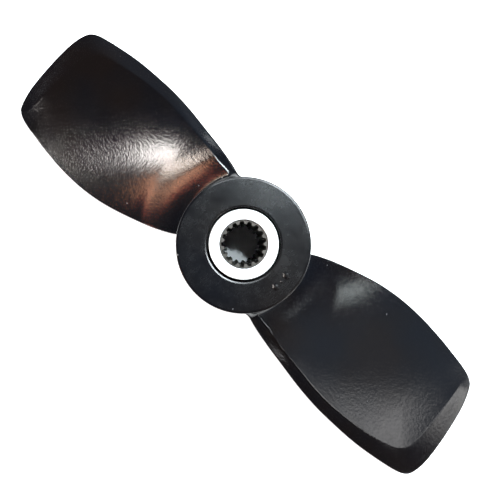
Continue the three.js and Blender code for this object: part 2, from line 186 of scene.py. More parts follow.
def helicoid(x, y):
    r = np.hypot(x, y)
    a = np.arctan2(y, x)
    mid = np.radians(mix(-0.5, 1.35, np.clip((r - 56) / 100, 0, 1)))
    q = smooth((ROOT_BLEND_R - r) / (ROOT_BLEND_R - 42))
    k = mix(PITCH_K, PITCH_K_ROOT, q)
    z = mix(Z_MID_REF - RAKE * (r - R_REF), Z_MID_ROOT, q)
    return z - k * (a - mid), k / r, r


# line of the raised crest in plan: along the cupped edge, round the corner, across the tip
CREST = np.array([
    [30.0, -24.6], [36.0, -25.0], [42.0, -25.6], [49.0, -26.3], [55.6, -27.9], [66.0, -29.7],
    [76.6, -30.9], [97.0, -33.3], [112.8, -34.1], [130.6, -33.3], [146.6, -31.3], [162.0, -28.4],
    [172.5, -25.0], [178.6, -20.6], [182.0, -14.0], [183.9, -6.0], [185.2, 4.0], [186.3, 16.0],
    [187.6, 31.0], [189.2, 45.7], [190.8, 60.0]])
CREST_END = np.array([189.9, 49.2])
CREST_C = resample(catmull(CREST, 30), 420)
_k = int(np.argmin(np.hypot(*(_soft - CREST_END).T)))
RIM_C = resample(_soft[:_k + 1], 420)
CORNER_ALONG = float(arc_param(CREST_C)[int(np.argmin(np.hypot(*(CREST_C - np.array([178.6, -20.6])).T)))])


def poly_distance(C, x, y):
    """Distance to an open curve, which side of it, and how far along it the nearest point is."""
    P = np.stack([np.ravel(x), np.ravel(y)], axis=-1)
    best = np.full(len(P), 1e9)
    side = np.zeros(len(P))
    along = np.zeros(len(P))
    L = arc_param(C)
    for i in range(len(C) - 1):
        a, d = C[i], C[i + 1] - C[i]
        q = P - a
        k = np.clip((q @ d) / (d @ d + 1e-12), 0, 1)
        e = q - k[:, None] * d
        dist = np.hypot(e[:, 0], e[:, 1])
        m = dist < best
        best[m] = dist[m]
        side[m] = (d[0] * q[:, 1] - d[1] * q[:, 0])[m]
        along[m] = (L[i] + k * (L[i + 1] - L[i]))[m]
    sh = np.shape(x)
    return best.reshape(sh), side.reshape(sh), along.reshape(sh)


def soft_distance(C, x, y):
    """Distance to a curve without the crease along the bisector of its corners."""
    P = np.stack([np.ravel(x), np.ravel(y)], axis=-1)
    mid = 0.5 * (C[1:] + C[:-1])
    step = np.hypot(*np.diff(C, axis=0).T)
    total = np.zeros(len(P))
    for m, h in zip(mid, step):
        total += h / (((P - m) ** 2).sum(axis=1) + 1e-6) ** 2
    return ((total / (math.pi / 2)) ** (-1.0 / 3.0)).reshape(np.shape(x))


def crest_offset(x, y):
    """Signed distance to the crest, positive on the side of the rim."""
    d, side, along = poly_distance(CREST_C, x, y)
    return np.where(side < 0, d, -d), along


def warp_tables():
    """Grid parameters at which each row and each column meets the crest."""
    q = np.linspace(0, 1, 400)
    rows = np.linspace(0.02, 0.80, 40)
    t_c = []
    for s in rows:
        P = plan(np.full_like(q, s), q)
        d, _ = crest_offset(P[:, 0], P[:, 1])
        k = int(np.argmax(d < 0))
        t_c.append(q[k])
    cols = np.linspace(0.30, 0.97, 40)
    s_c = []
    for t in cols:
        P = plan(q, np.full_like(q, t))
        d, _ = crest_offset(P[:, 0], P[:, 1])
        k = len(q) - 1 - int(np.argmax((d < 0)[::-1]))
        s_c.append(q[k])
    return rows, np.array(t_c), cols, np.array(s_c)


def hub_radius(z):
    return HUB_R_REAR + (HUB_R_FRONT - HUB_R_REAR) * np.clip(z / HUB_LENGTH, 0, 1)


def crowded(n, m, power):
    """n + m steps of 0..1 with the n-th exactly on 0.5 and the steps closest around it."""
    a = 0.5 * (1 - (1 - np.linspace(0, 1, n + 1)) ** power)
    b = 0.5 + 0.5 * np.linspace(0, 1, m + 1)[1:] ** power
    return np.r_[a, b]


def blade_grid():
    rows, t_c, cols, s_c = warp_tables()
    # rows: a fan of close rows through the root fillet, then on to the crest and the tip
    phi = np.linspace(0, math.pi / 2, 12)
    d_fil = FILLET_R * (1 - np.cos(phi))
    s_fil = (d_fil - 0.6) / 160.0
    n_in, n_out = 210, 34
    A = np.linspace(0, 1, n_in)[1:]
    A = mix(A, 1 - (1 - A) ** 1.5, 0.35)
    B = np.linspace(0, 1, n_out + 1)[1:]
    B = mix(B, B ** 1.4, 0.6)
    u_row = np.r_[s_fil / s_fil[-1] * 0.1, 0.1 + 0.8 * A, 0.9 + 0.1 * B]     # markers only
    nu = len(u_row)
    n_edge, n_face = 26, 104
    C = np.linspace(0, 1, n_edge + 1)
    C = mix(C, 1 - (1 - C) ** 1.5, 0.7)
    C = mix(C, 0.5 - 0.5 * np.cos(math.pi * C), 0.35)
    D = np.linspace(0, 1, n_face + 1)[1:]
    D = mix(D, D ** 1.35, 0.55)
    D = mix(D, 0.5 - 0.5 * np.cos(math.pi * D), 0.35)
    nv = n_edge + 1 + n_face
    s_mid = float(np.interp(0.5, cols, s_c))
    Sg, Tg = np.zeros((nu, nv)), np.zeros((nu, nv))
    t_of_s = lambda s: np.interp(s, rows, t_c)
    s_of_t = lambda t: np.interp(t, cols, s_c)
    jj = np.arange(nv)
    tt = np.where(jj <= n_edge, 0.5 * C[np.minimum(jj, n_edge)], 0)
    Tg[:] = np.linspace(0, 1, nv)[None, :]
    for _ in range(6):
        sc = s_of_t(Tg)
        n_f = len(s_fil)
        for i in range(nu):
            if i < n_f:
                Sg[i] = s_fil[i]
            elif i < n_f + n_in - 1:
                Sg[i] = s_fil[-1] + (sc[i] - s_fil[-1]) * A[i - n_f]
            else:
                Sg[i] = sc[i] + (1 - sc[i]) * B[i - n_f - n_in + 1]
        tc = t_of_s(Sg)
        Tg = np.concatenate([tc[:, :n_edge + 1] * C[None, :],
                             tc[:, n_edge + 1:] + (1 - tc[:, n_edge + 1:]) * D[None, :]], axis=1)
    b = 0.8                                  # how far the rounded edge stands out
    Tin = mix((b + 0.05) / 92.0, 1 - (b + 0.1) / 92.0, Tg)
    Sin = np.minimum(Sg, 1.0) * (1 - (b + 0.3) / 158.0)
    P = plan(Sin, Tin)
    x, y = P[..., 0], P[..., 1]
    hz, slope, r = helicoid(x, y)
    cosphi = 1 / np.sqrt(1 + slope ** 2)
    span = np.clip((r - 42) / 160, 0, 1)
    Tm = mix(T_ROOT, T_TIP, span ** 0.8)
    u = np.where(Tg < 0.4, (0.4 - Tg) / 0.4, (Tg - 0.4) / 0.6)
    T_ = np.where(Tg < 0.4, Tm * (1 - 0.12 * u * u), mix(T_EDGE_TE, Tm, 1 - u ** 2.2))
    off, along = crest_offset(x, y)
    rim, _, _ = poly_distance(RIM_C, x, y)
    rim = np.maximum(rim - b, 0.0)
    near = smooth((np.abs(off) - 1.5) / 4.5)
    far = mix(np.abs(off), soft_distance(CREST_C, x, y), near)
    tau = np.clip(off / np.maximum(off + rim, 1e-6), 0, 1)
    end = np.hypot(x - CREST_END[0], y - CREST_END[1])
    keep = smooth((end - 1.0) / 13.0)
    corner = np.exp(-((along - CORNER_ALONG) / 26.0) ** 2)
    power = 1.28 + 0.42 * corner
    fall = tau ** power * keep
    root = smooth((108 - r) / 46)
    cup = ((CUP + CUP_ROOT * root) * np.exp(-far / mix(CUP_LENGTH, CUP_LENGTH_ROOT, root)) * smooth((r - 42) / 20)
           * smooth((end - 2.0) / 26.0))
    cup = cup * (1 - 0.35 * corner)
    top = FACE_OFFSET / cosphi + cup
    bot = (FACE_OFFSET - T_) / cosphi
    e_mid = -EDGE_DROP * T_ / cosphi
    e_top, e_bot = e_mid + T_EDGE_LE / 2, e_mid - T_EDGE_LE / 2
    zt = mix(top, e_top, fall)
    zb = mix(bot, e_bot, fall ** 2.2)
    # root fillet
    d = np.maximum(0, r - hub_radius(hz))
    flare = np.where(d < FILLET_R, FILLET_R - np.sqrt(np.maximum(0, FILLET_R ** 2 - (FILLET_R - d) ** 2)), 0)
    side = np.abs(2 * Tg - 1)
    ang = np.arctan2(y, x) + np.sign(Tg - 0.5) * side ** 6 * flare * cosphi / r
    x, y = r * np.cos(ang), r * np.sin(ang)
    rnd = np.sqrt(np.maximum(0, 1 - side ** 8))
    zt = zt + flare * rnd / cosphi
    zb = zb - flare * rnd / cosphi
    hz, slope, r = helicoid(x, y)
    zf = hz + zt
    zf = ROOT_Z_MAX - 1.6 * np.logaddexp(0, (ROOT_Z_MAX - zf) / 1.6)
    zr = hz + zb
    zr = 0.4 + 0.8 * np.logaddexp(0, (zr - 0.4) / 0.8)
    zf = np.maximum(zf, zr + 0.8)
    front = np.stack([x, y, zf], axis=-1)
    back = np.stack([x, y, zr], axis=-1)
    # row inside the hub wall
    k = ROOT_R_INSIDE / np.hypot(front[0, :, 0], front[0, :, 1])
    f0, b0 = front[0].copy(), back[0].copy()
    f0[:, :2] *= k[:, None]; b0[:, :2] *= k[:, None]
    front = np.concatenate([f0[None], front]); back = np.concatenate([b0[None], back])
    return front, back, b


def grid_solid(front, back, bulge, rim_rows=6):
    """Closes the two grids with a rounded rim that stands out by bulge in plan."""
    nu, nv = front.shape[:2]
    verts = [front.reshape(-1, 3), back.reshape(-1, 3)]
    fid = lambda i, j: i * nv + j
    bid = lambda i, j: nu * nv + i * nv + j
    faces = []
    for i in range(nu - 1):
        for j in range(nv - 1):
            faces.append((fid(i, j), fid(i + 1, j), fid(i + 1, j + 1), fid(i, j + 1)))
            faces.append((bid(i, j), bid(i, j + 1), bid(i + 1, j + 1), bid(i + 1, j)))
    # rim path: up the cupped edge, across the tip, down the thin edge
    path = [(i, 0) for i in range(nu)] + [(nu - 1, j) for j in range(1, nv)] + \
           [(i, nv - 1) for i in range(nu - 2, -1, -1)]
    F = np.array([front[i, j] for i, j in path]); B = np.array([back[i, j] for i, j in path])
    M = 0.5 * (F + B)
    tan = np.gradient(M[:, :2], axis=0)
    tan /= np.linalg.norm(tan, axis=1)[:, None] + 1e-9
    nrm = np.c_[tan[:, 1], -tan[:, 0]]
    n0 = len(front.reshape(-1, 3)) * 2
    extra = []
    m = len(path)
    amount = np.full(m, bulge)
    amount[0] = amount[-1] = 0.0
    for k in range(1, rim_rows):
        a = math.pi * k / rim_rows
        P = M + (F - M) * math.cos(a)
        P[:, :2] += nrm * (amount * math.sin(a))[:, None]
        extra.append(P)
    verts += extra

    def rid(k, q):
        if k == 0:
            return fid(*path[q])
        if k == rim_rows:
            return bid(*path[q])
        return n0 + (k - 1) * m + q
    for k in range(rim_rows):
        for q in range(m - 1):
            faces.append((rid(k, q), rid(k + 1, q), rid(k + 1, q + 1), rid(k, q + 1)))
    # root cap, inside the hub wall
    for j in range(nv - 1):
        faces.append((fid(0, j), fid(0, j + 1), bid(0, j + 1), bid(0, j)))
    cap0 = [rid(k, 0) for k in range(rim_rows + 1)]
    cap1 = [rid(k, m - 1) for k in range(rim_rows + 1)]
    # the two short ends of the rim rows at the root close on themselves
    for k in range(1, rim_rows - 0):
        pass
    if rim_rows > 1:
        faces.append(tuple(cap0[::-1]))
        faces.append(tuple(cap1))
    return np.vstack(verts), faces


def mesh_object(name, verts, faces, scale=MM):
    me = bpy.data.meshes.new(name)
    me.from_pydata([tuple(map(float, v)) for v in np.asarray(verts) * scale], [], faces)
    bm = bmesh.new(); bm.from_mesh(me)
    bmesh.ops.remove_doubles(bm, verts=bm.verts, dist=1e-7)
    bmesh.ops.dissolve_degenerate(bm, edges=bm.edges, dist=1e-7)
    bmesh.ops.recalc_face_normals(bm, faces=bm.faces)
    if bm.calc_volume(signed=True) < 0:
        bmesh.ops.reverse_faces(bm, faces=bm.faces)
    bm.to_mesh(me); bm.free()
    ob = bpy.data.objects.new(name, me)
    scene.collection.objects.link(ob)
    return ob


def lathe(name, profile, seg, phase=0.0):
    """Turns a closed (r, z) profile about Z."""
    prof = np.array(profile, float)
    n = len(prof)
    a = np.linspace(0, 2 * math.pi, seg, endpoint=False) + phase
    V = np.stack([prof[None, :, 0] * np.cos(a)[:, None], prof[None, :, 0] * np.sin(a)[:, None],
                  np.repeat(prof[None, :, 1], seg, axis=0)], axis=-1).reshape(-1, 3)
    F = []
    for i in range(seg):
        k = (i + 1) % seg
        for j in range(n):
            l = (j + 1) % n
            F.append((i * n + j, k * n + j, k * n + l, i * n + l))
    return mesh_object(name, V, F)


def rounded(profile, radii, steps=5):
    """Rounds the corners of a closed (r, z) profile."""
    P = np.array(profile, float)
    out = []
    n = len(P)
    for i in range(n):
        p, a, b = P[i], P[i - 1], P[(i + 1) % n]
        R = radii[i]
        if R <= 0:
            out.append(p); continue
        u = (a - p) / np.linalg.norm(a - p); v = (b - p) / np.linalg.norm(b - p)
        half = 0.5 * math.acos(max(-1, min(1, float(u @ v))))
        tlen = min(R / math.tan(half), 0.45 * np.linalg.norm(a - p), 0.45 * np.linalg.norm(b - p))
        Rr = tlen * math.tan(half)
        c = p + (u + v) / np.linalg.norm(u + v) * (Rr / math.sin(half))
        s, e = p + u * tlen - c, p + v * tlen - c
        a0, a1 = math.atan2(s[1], s[0]), math.atan2(e[1], e[0])
        da = (a1 - a0 + math.pi) % (2 * math.pi) - math.pi
        for k in range(steps + 1):
            t = a0 + da * k / steps
            out.append(c + Rr * np.array([math.cos(t), math.sin(t)]))
    return np.array(out)


def apply_union(base, others):
    for o in others:
        m = base.modifiers.new("join_" + o.name, "BOOLEAN")
        m.operation = "UNION"; m.solver = "MANIFOLD"; m.object = o
    dg = bpy.context.evaluated_depsgraph_get()
    me = bpy.data.meshes.new_from_object(base.evaluated_get(dg), depsgraph=dg)
    base.modifiers.clear()
    old = base.data
    base.data = me
    bpy.data.meshes.remove(old)
    for o in others:
        bpy.data.objects.remove(o)
    return base


def shade(ob, angle=35):
    me = ob.data
    me.polygons.foreach_set("use_smooth", np.ones(len(me.polygons), bool))
    bm = bmesh.new(); bm.from_mesh(me)
    lim = math.radians(angle)
    for e in bm.edges:
        e.smooth = not (len(e.link_faces) == 2 and e.calc_face_angle(0) > lim)
    bm.to_mesh(me); bm.free()
    m = ob.modifiers.new("weighted", "WEIGHTED_NORMAL")
    m.keep_sharp = True
    m.weight = 60


# --------------------------------------------------------------------------
# casting: barrel, two blades, three plain raised marks
# --------------------------------------------------------------------------
hub_prof = rounded([
    (HUB_BORE_R + 1.2, 0), (HUB_R_REAR - 1.2, 0), (HUB_R_REAR, 1.2),
    (HUB_R_FRONT, HUB_LENGTH - 0.375), (HUB_R_FRONT - 1.45, HUB_LENGTH),
    (LIP_R + 1.1, HUB_LENGTH), (LIP_R, HUB_LENGTH - 0.325), (LIP_R, HUB_LENGTH - LIP_LENGTH),
    (HUB_BORE_R, HUB_LENGTH - LIP_LENGTH), (HUB_BORE_R, 1.2)],
    [0.3, 0.9, 0.9, 0.8, 0.5, 0.6, 0.5, 0.3, 0.8, 0.3], 8)
casting = lathe("casting_black_paint", hub_prof, 288)
front, back, bulge = blade_grid()
V, F = grid_solid(front, back, bulge)
blade_a = mesh_object("blade_a", V, F)
V2 = V * np.array([-1, -1, 1])
blade_b = mesh_object("blade_b", V2, F)


def button(name, r, ang_deg, prof, seg=6, phase=-171.9):
    """Raised pip on the hub face with sloping flat sides, from a profile of (radius, height)."""
    prof = [(prof[0][0], -0.6)] + prof
    cx, cy = r * math.cos(math.radians(ang_deg)), r * math.sin(math.radians(ang_deg))
    verts, faces = [], []
    m = len(prof)
    for i in range(seg):
        t = 2 * math.pi * i / seg + math.radians(phase)
        for p in prof:
            verts.append((cx + p[0] * math.cos(t), cy + p[0] * math.sin(t), HUB_LENGTH + p[1]))
    for i in range(seg):
        k = (i + 1) % seg
        for j in range(m - 1):
            faces.append((i * m + j, k * m + j, k * m + j + 1, i * m + j + 1))
    faces.append(tuple(i * m for i in range(seg)))
    faces.append(tuple(i * m + m - 1 for i in range(seg))[::-1])
    return mesh_object(name, verts, faces)


LARGE_PIP = [(2.70, 0.0), (2.63, 0.042), (1.23, 0.890), (1.12, 0.925), (0.95, 0.935)]
SMALL_PIP = [(1.35, 0.0), (1.28, 0.042), (0.48, 0.527), (0.38, 0.55)]
marks = [button("mark_a", 33.0, 8.4, LARGE_PIP), button("mark_b", 33.0, 0.2, SMALL_PIP),
         button("mark_c", 33.0, -8.0, LARGE_PIP)]
apply_union(casting, [blade_a, blade_b] + marks)
shade(casting, 32)

# --------------------------------------------------------------------------
# bush, sleeve, ring
# --------------------------------------------------------------------------
bush_prof = rounded([
    (BUSH_R_IN + 1.6, BUSH_Z0), (BUSH_R_OUT - 1.6, BUSH_Z0), (BUSH_R_OUT, BUSH_Z0 + 1.6),
    (BUSH_R_OUT, BUSH_Z1 - 1.6), (BUSH_R_OUT - 1.6, BUSH_Z1), (BUSH_R_IN + 1.6, BUSH_Z1),
    (BUSH_R_IN, BUSH_Z1 - 1.6), (BUSH_R_IN, BUSH_Z0 + 1.6)], [1.2] * 8, 4)
bush = lathe("bush_rubber_ring", bush_prof, 160)
shade(bush, 30)

ring_prof = rounded([
    (RING_R_IN, RING_Z0), (RING_R_OUT, RING_Z0), (RING_R_OUT, RING_Z1), (RING_R_IN, RING_Z1)],
    [0.3, 0.3, 0.55, 0.6], 6)
ring = lathe("thrust_ring_white", ring_prof, 200)
shade(ring, 30)


def sleeve_object():
    per = 12
    n = SPLINE_TEETH * per
    # tooth form over one pitch: rounded tip, sloping flank, rounded root
    f = np.linspace(0, 1, per, endpoint=False)
    form = []
    for q in f:
        d = min(q, 1 - q)                      # 0 at the tooth's middle, 0.5 at the root's middle
        form.append(float(smooth((d - 0.145) / 0.15)))
    form = np.array(form * SPLINE_TEETH)
    ang = np.arange(n) / n * 2 * math.pi + math.radians(SPLINE_TURN)
    base = SPLINE_R_TIP + (SPLINE_R_ROOT - SPLINE_R_TIP) * form
    lead = SPLINE_R_ROOT - SPLINE_R_TIP

    def loop(z, r):
        r = np.broadcast_to(r, (n,))
        return np.c_[r * np.cos(ang), r * np.sin(ang), np.full(n, z)]
    loops = []
    for q in np.linspace(0, 1, 6):             # rear lead-in
        loops.append(loop(0.0 + 1.9 * q, np.maximum(base, SPLINE_R_TIP + (lead + 0.25) * (1 - q) ** 1.1)))
    for q in np.linspace(0, 1, 14)[1:]:
        loops.append(loop(mix(1.9, SPIGOT_Z1 - 0.35, q), base))
    for q in np.linspace(0, math.pi / 2, 4)[1:]:   # rounded front edge of the teeth
        loops.append(loop(SPIGOT_Z1 - 0.35 + 0.35 * math.sin(q), np.minimum(base + 0.22 * (1 - math.cos(q)), SPLINE_R_ROOT + 0.12)))
    outer = rounded([(SPLINE_R_ROOT + 0.2, SPIGOT_Z1), (SPIGOT_R, SPIGOT_Z1), (SPIGOT_R, SLEEVE_Z1),
                     (SLEEVE_R, SLEEVE_Z1), (SLEEVE_R, 0), (SPLINE_R_ROOT + 0.25, 0)],
                    [0, 0.2, 0.25, 0.4, 0.8, 0], 4)
    for p in outer[1:-1]:
        loops.append(loop(p[1], p[0]))
    V = np.vstack(loops)
    m = len(loops)
    F = []
    for l in range(m):
        nx = (l + 1) % m
        for i in range(n):
            k = (i + 1) % n
            F.append((l * n + i, l * n + k, nx * n + k, nx * n + i))
    return mesh_object("sleeve_splined", V, F)


sleeve = sleeve_object()
shade(sleeve, 30)

# --------------------------------------------------------------------------
# materials
# --------------------------------------------------------------------------
class Nodes:
    def __init__(self, name):
        self.mat = bpy.data.materials.new(name)
        self.mat.use_nodes = True
        self.t = self.mat.node_tree
        self.t.nodes.clear()
        self.out = self.t.nodes.new("ShaderNodeOutputMaterial")
        self.bsdf = self.t.nodes.new("ShaderNodeBsdfPrincipled")
        self.t.links.new(self.bsdf.outputs[0], self.out.inputs[0])
        self.co = self.t.nodes.new("ShaderNodeTexCoord").outputs["Object"]

    def n(self, kind, **props):
        x = self.t.nodes.new(kind)
        for k, v in props.items():
            setattr(x, k, v)
        return x

    def link(self, a, b):
        self.t.links.new(a, b)

    def mapping(self, scale=(1, 1, 1), rot=(0, 0, 0), src=None):
        m = self.n("ShaderNodeMapping")
        m.inputs["Scale"].default_value = scale
        m.inputs["Rotation"].default_value = rot
        self.link(src or self.co, m.inputs[0])
        return m.outputs[0]

    def noise(self, scale, detail=3, rough=0.55, src=None, dist=0.0):
        x = self.n("ShaderNodeTexNoise")
        x.inputs["Scale"].default_value = scale
        x.inputs["Detail"].default_value = detail
        x.inputs["Roughness"].default_value = rough
        x.inputs["Distortion"].default_value = dist
        self.link(src or self.co, x.inputs["Vector"])
        return x.outputs["Fac"]

    def ramp(self, src, stops, mode="LINEAR"):
        x = self.n("ShaderNodeValToRGB")
        x.color_ramp.interpolation = mode
        cr = x.color_ramp
        while len(cr.elements) < len(stops):
            cr.elements.new(0.5)
        for e, (p, c) in zip(cr.elements, stops):
            e.position = p
            e.color = c if len(c) == 4 else (*c, 1)
        self.link(src, x.inputs[0])
        return x.outputs[0]

    def map_range(self, src, a, b, c, d, clamp=True):
        x = self.n("ShaderNodeMapRange")
        x.clamp = clamp
        for i, v in zip((1, 2, 3, 4), (a, b, c, d)):
            x.inputs[i].default_value = v
        self.link(src, x.inputs[0])
        return x.outputs[0]

    def math(self, op, a, b=None, c=None):
        x = self.n("ShaderNodeMath", operation=op)
        for i, v in enumerate((a, b, c)):
            if v is None:
                continue
            if isinstance(v, (int, float)):
                x.inputs[i].default_value = v
            else:
                self.link(v, x.inputs[i])
        return x.outputs[0]

    def mixc(self, fac, a, b):
        x = self.n("ShaderNodeMix", data_type="RGBA")
        for sock, v in ((x.inputs[0], fac), (x.inputs[6], a), (x.inputs[7], b)):
            if isinstance(v, (int, float)):
                sock.default_value = v
            elif isinstance(v, tuple):
                sock.default_value = v if len(v) == 4 else (*v, 1)
            else:
                self.link(v, sock)
        return x.outputs[2]

    def bump(self, height, strength, distance, normal=None):
        x = self.n("ShaderNodeBump")
        x.inputs["Strength"].default_value = strength
        x.inputs["Distance"].default_value = distance
        self.link(height, x.inputs["Height"])
        if normal is not None:
            self.link(normal, x.inputs["Normal"])
        return x.outputs[0]


def paint_material():
    m = Nodes("black_paint")
    sep = m.n("ShaderNodeSeparateXYZ"); m.link(m.co, sep.inputs[0])
    X, Y, Z = sep.outputs
    R = m.math("SQRT", m.math("ADD", m.math("MULTIPLY", X, X), m.math("MULTIPLY", Y, Y)))
    face = m.math("MULTIPLY", m.map_range(R, 0.0425, 0.0415, 0, 1), m.map_range(Z, 0.0752, 0.0758, 0, 1))
    # base colour: near black, cool or warm in slow patches
    tone = m.noise(14, 3, 0.5)
    col = m.ramp(tone, [(0.35, (0.0022, 0.0028, 0.0042)), (0.5, (0.0030, 0.0028, 0.0032)), (0.65, (0.0042, 0.0029, 0.0023))])
    m.link(col, m.bsdf.inputs["Base Color"])
    # grinding marks that show through the paint, across the blade
    marks = m.noise(1.0, 3, 0.55, src=m.mapping(scale=(900, 330, 330)), dist=1.2)
    lines = m.noise(1.0, 2, 0.6, src=m.mapping(scale=(1500, 120, 120)))
    fine = m.noise(900, 2, 0.5)
    peel = m.noise(230, 3, 0.5)
    smudge = m.noise(34, 4, 0.62)
    blade = m.map_range(R, 0.043, 0.052, 0, 1)
    rough = m.math("ADD", m.math("ADD", m.map_range(smudge, 0.3, 0.7, 0.185, 0.24), m.map_range(blade, 0, 1, 0.0, -0.07)), m.map_range(marks, 0.3, 0.7, -0.02, 0.03))
    # the worn bevel round the hub face is a little smoother
    rim = m.math("MULTIPLY", m.map_range(R, 0.0408, 0.0411, 0, 1), m.map_range(R, 0.0426, 0.0429, 1, 0))
    rough = m.math("ADD", rough, m.math("MULTIPLY", rim, -0.07))
    rough = m.math("ADD", rough, m.math("MULTIPLY", face, m.map_range(m.noise(110, 5, 0.65), 0.35, 0.65, 0.0, 0.07)))
    # specks of dust stuck in the paint
    vor = m.n("ShaderNodeTexVoronoi", feature="F1")
    vor.inputs["Scale"].default_value = 125
    m.link(m.co, vor.inputs["Vector"])
    pick = m.n("ShaderNodeSeparateColor"); m.link(vor.outputs["Color"], pick.inputs[0])
    speck = m.math("MULTIPLY", m.map_range(vor.outputs["Distance"], 0.065, 0.035, 0, 1), m.map_range(pick.outputs[0], 0.80, 0.84, 0, 1))
    m.link(m.mixc(speck, col, (0.20, 0.20, 0.21)), m.bsdf.inputs["Base Color"])
    m.link(m.math("ADD", rough, m.math("MULTIPLY", speck, 0.3)), m.bsdf.inputs["Roughness"])
    b0 = m.bump(m.math("MULTIPLY", m.noise(560, 3, 0.62), blade), 0.6, 0.00019)
    b1 = m.bump(m.math("MULTIPLY", marks, blade), 0.55, 0.00005, b0)
    b2 = m.bump(m.math("MULTIPLY", lines, blade), 0.25, 0.00005, b1)
    b3 = m.bump(peel, 0.30, 0.00014, b2)
    b4 = m.bump(fine, 0.12, 0.00004, b3)
    b5 = m.bump(speck, 0.6, 0.00015, b4)
    m.link(b5, m.bsdf.inputs["Normal"])
    m.bsdf.inputs["Specular IOR Level"].default_value = 0.5
    return m.mat


def rubber_material():
    m = Nodes("bush_rubber")
    n = m.noise(420, 4, 0.6)
    m.link(m.ramp(n, [(0.3, (0.008, 0.008, 0.008)), (0.7, (0.018, 0.018, 0.019))]), m.bsdf.inputs["Base Color"])
    m.link(m.map_range(n, 0.3, 0.7, 0.6, 0.85), m.bsdf.inputs["Roughness"])
    m.link(m.bump(n, 0.3, 0.0001), m.bsdf.inputs["Normal"])
    return m.mat


def ring_material():
    m = Nodes("ring_white")
    n = m.noise(60, 4, 0.6)
    m.link(m.ramp(n, [(0.3, (0.86, 0.87, 0.86)), (0.7, (0.93, 0.93, 0.92))]), m.bsdf.inputs["Base Color"])
    m.link(m.map_range(n, 0.3, 0.7, 0.3, 0.45), m.bsdf.inputs["Roughness"])
    m.link(m.bump(m.noise(700, 2, 0.5), 0.1, 0.00004), m.bsdf.inputs["Normal"])
    return m.mat


def sleeve_material():
    m = Nodes("sleeve_metal")
    n = m.noise(220, 4, 0.6)
    m.link(m.ramp(n, [(0.3, (0.075, 0.070, 0.062)), (0.7, (0.125, 0.118, 0.106))]), m.bsdf.inputs["Base Color"])
    m.bsdf.inputs["Metallic"].default_value = 0.75
    m.link(m.map_range(n, 0.3, 0.7, 0.48, 0.66), m.bsdf.inputs["Roughness"])
    m.link(m.bump(m.noise(1.0, 2, 0.5, src=m.mapping(scale=(600, 600, 60))), 0.2, 0.00005), m.bsdf.inputs["Normal"])
    return m.mat


for ob, mat in ((casting, paint_material()), (bush, rubber_material()),
                (ring, ring_material()), (sleeve, sleeve_material())):
    ob.data.materials.clear()
    ob.data.materials.append(mat)

# --------------------------------------------------------------------------
# bodies
# --------------------------------------------------------------------------
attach(casting, "propeller"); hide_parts("propeller_casting")
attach(bush, "drive_core"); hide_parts("rubber_bush")
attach(sleeve, "drive_core"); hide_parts("drive_sleeve")
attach(ring, "drive_core"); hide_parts("thrust_ring")

# --------------------------------------------------------------------------
# stage, lights, camera
# --------------------------------------------------------------------------
def floor():
    n = 24
    half = 3.0
    verts = [(-half + 2 * half * i / n, -half + 2 * half * j / n, 0.0) for i in range(n + 1) for j in range(n + 1)]
    faces = [(i * (n + 1) + j, (i + 1) * (n + 1) + j, (i + 1) * (n + 1) + j + 1, i * (n + 1) + j + 1)
             for i in range(n) for j in range(n)]
    me = bpy.data.meshes.new("floor")
    me.from_pydata(verts, [], faces)
    ob = bpy.data.objects.new("floor", me)
    scene.collection.objects.link(ob)
    m = Nodes("floor_pale_painted_glow")
    k = m.noise(3, 3, 0.5)
    m.link(m.ramp(k, [(0.3, (0.93, 0.93, 0.93)), (0.7, (0.95, 0.95, 0.95))]), m.bsdf.inputs["Base Color"])
    m.bsdf.inputs["Roughness"].default_value = 0.9
    m.bsdf.inputs["Specular IOR Level"].default_value = 0.0
    # painted light: the floor glows from 46 mm out from the axis, fading to no glow within 28 mm under the hub; the
    # glow washes out the cast shadows, and the floor under the bore is left unlit
    m.bsdf.inputs["Emission Color"].default_value = (1, 1, 1, 1)
    far = m.n("ShaderNodeVectorMath", operation="LENGTH")
    m.link(m.co, far.inputs[0])
    m.link(m.map_range(far.outputs["Value"], 0.028, 0.046, 0.0, 0.85), m.bsdf.inputs["Emission Strength"])
    me.materials.append(m.mat)
    return ob


ground = floor()

# camera: principal point, distance and tilt in the photograph's frame
F_PX, PPX, PPY, CX, CY, TX, TY = 500.0, 249.94, 174.61, 243.82, 244.02, -0.0404, 0.1356
PX_MM = 0.624
TURN = math.radians(44.5)


def cam_axes():
    s = math.hypot(TX, TY)
    c = math.sqrt(1 - s * s)
    dx, dy = TX / s, TY / s
    z = np.array([TX, TY, c])
    l = np.array([-dy, dx, 0.0])
    dp = np.array([dx * c, dy * c, -s])
    ex = l * l[0] + dp * dx
    ey = l * l[1] + dp * dy
    return ex, ey, z


def to_part(v):
    a, b, c = v
    ca, sa = math.cos(TURN), math.sin(TURN)
    return np.array([a * ca + b * sa, a * sa - b * ca, c])


ex, ey, ez = cam_axes()
t = np.array([CX - PPX, CY - PPY])
loc = (-t[0]) * ex + (-t[1]) * ey + F_PX * ez
right, up, backv = to_part(ex), -to_part(ey), to_part(ez)
cam_loc = to_part(loc) * PX_MM + np.array([0, 0, HUB_LENGTH])
cam_data = bpy.data.cameras.new("camera")
cam = bpy.data.objects.new("camera", cam_data)
scene.collection.objects.link(cam)
cam_data.sensor_width = 36.0
cam_data.sensor_fit = "HORIZONTAL"
cam_data.lens = 36.0 * F_PX / 500.0
cam_data.shift_x = (250.0 - PPX) / 500.0
cam_data.shift_y = -(250.0 - PPY) / 500.0
cam_data.clip_start = 0.01
cam_data.clip_end = 50
M = Matrix.Identity(4)
for i, v in enumerate((right, up, backv)):
    for j in range(3):
        M[j][i] = float(v[j])
for j in range(3):
    M[j][3] = float(cam_loc[j]) * MM
cam.matrix_world = M
scene.camera = cam


